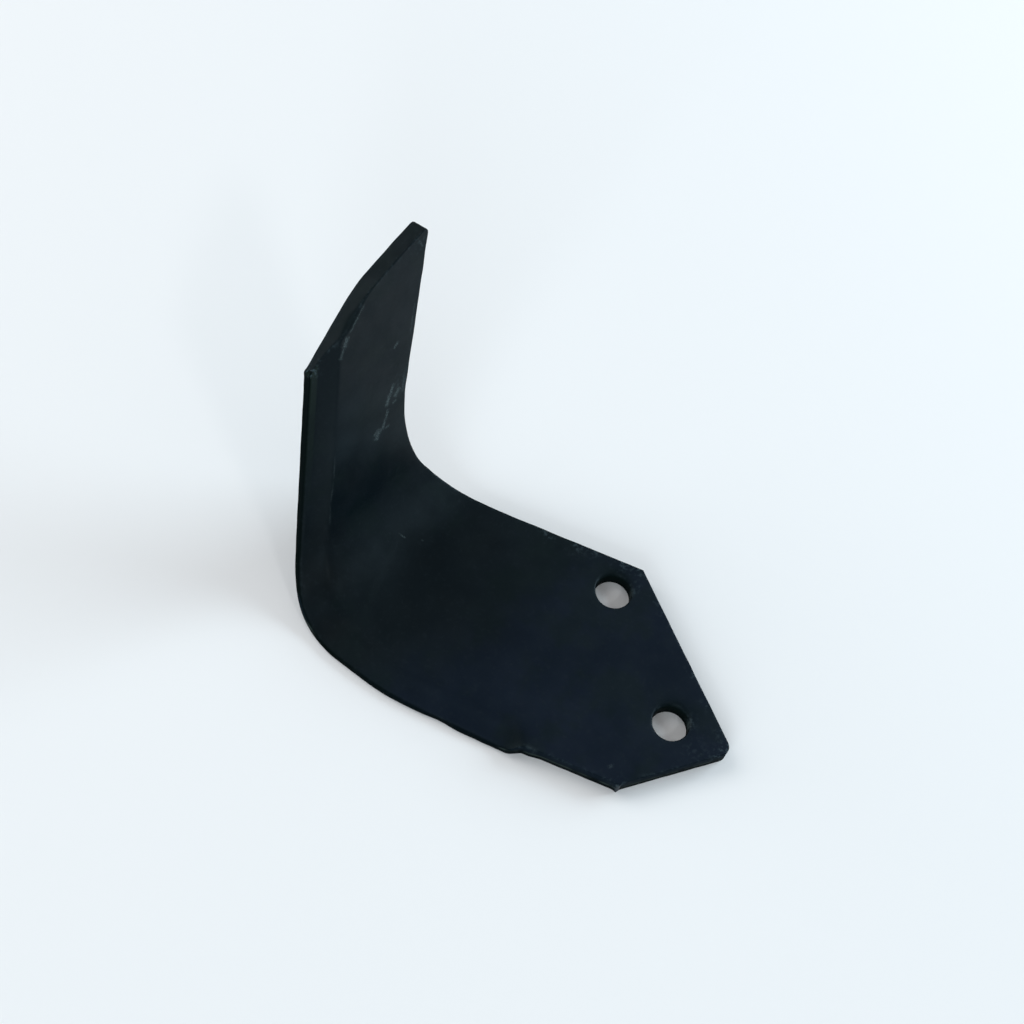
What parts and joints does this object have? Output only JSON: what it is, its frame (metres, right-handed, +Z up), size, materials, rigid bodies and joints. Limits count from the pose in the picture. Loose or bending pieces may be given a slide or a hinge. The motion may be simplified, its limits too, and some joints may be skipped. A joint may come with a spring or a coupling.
{
  "type": "rotary tiller blade",
  "caption": "Flat forged tiller blade with bolt holes in its shank, a bevelled cutting edge and a wing bent up on a slant.",
  "frame": {"origin": "on the underside of the flat shank, midway between the two bolt holes", "axes": "+X along the bar from the bolt holes towards the wing, +Y towards the cutting edge, +Z up, the side that the wing is bent to"},
  "size_m": [0.1912, 0.1248, 0.118],
  "materials": {
    "dark_paint": "thin glossy blue-black paint over forged steel, scuffed at the edges"
  },
  "bodies": {
    "root": {"blade": "dark_paint"}
  },
  "joints": []
}
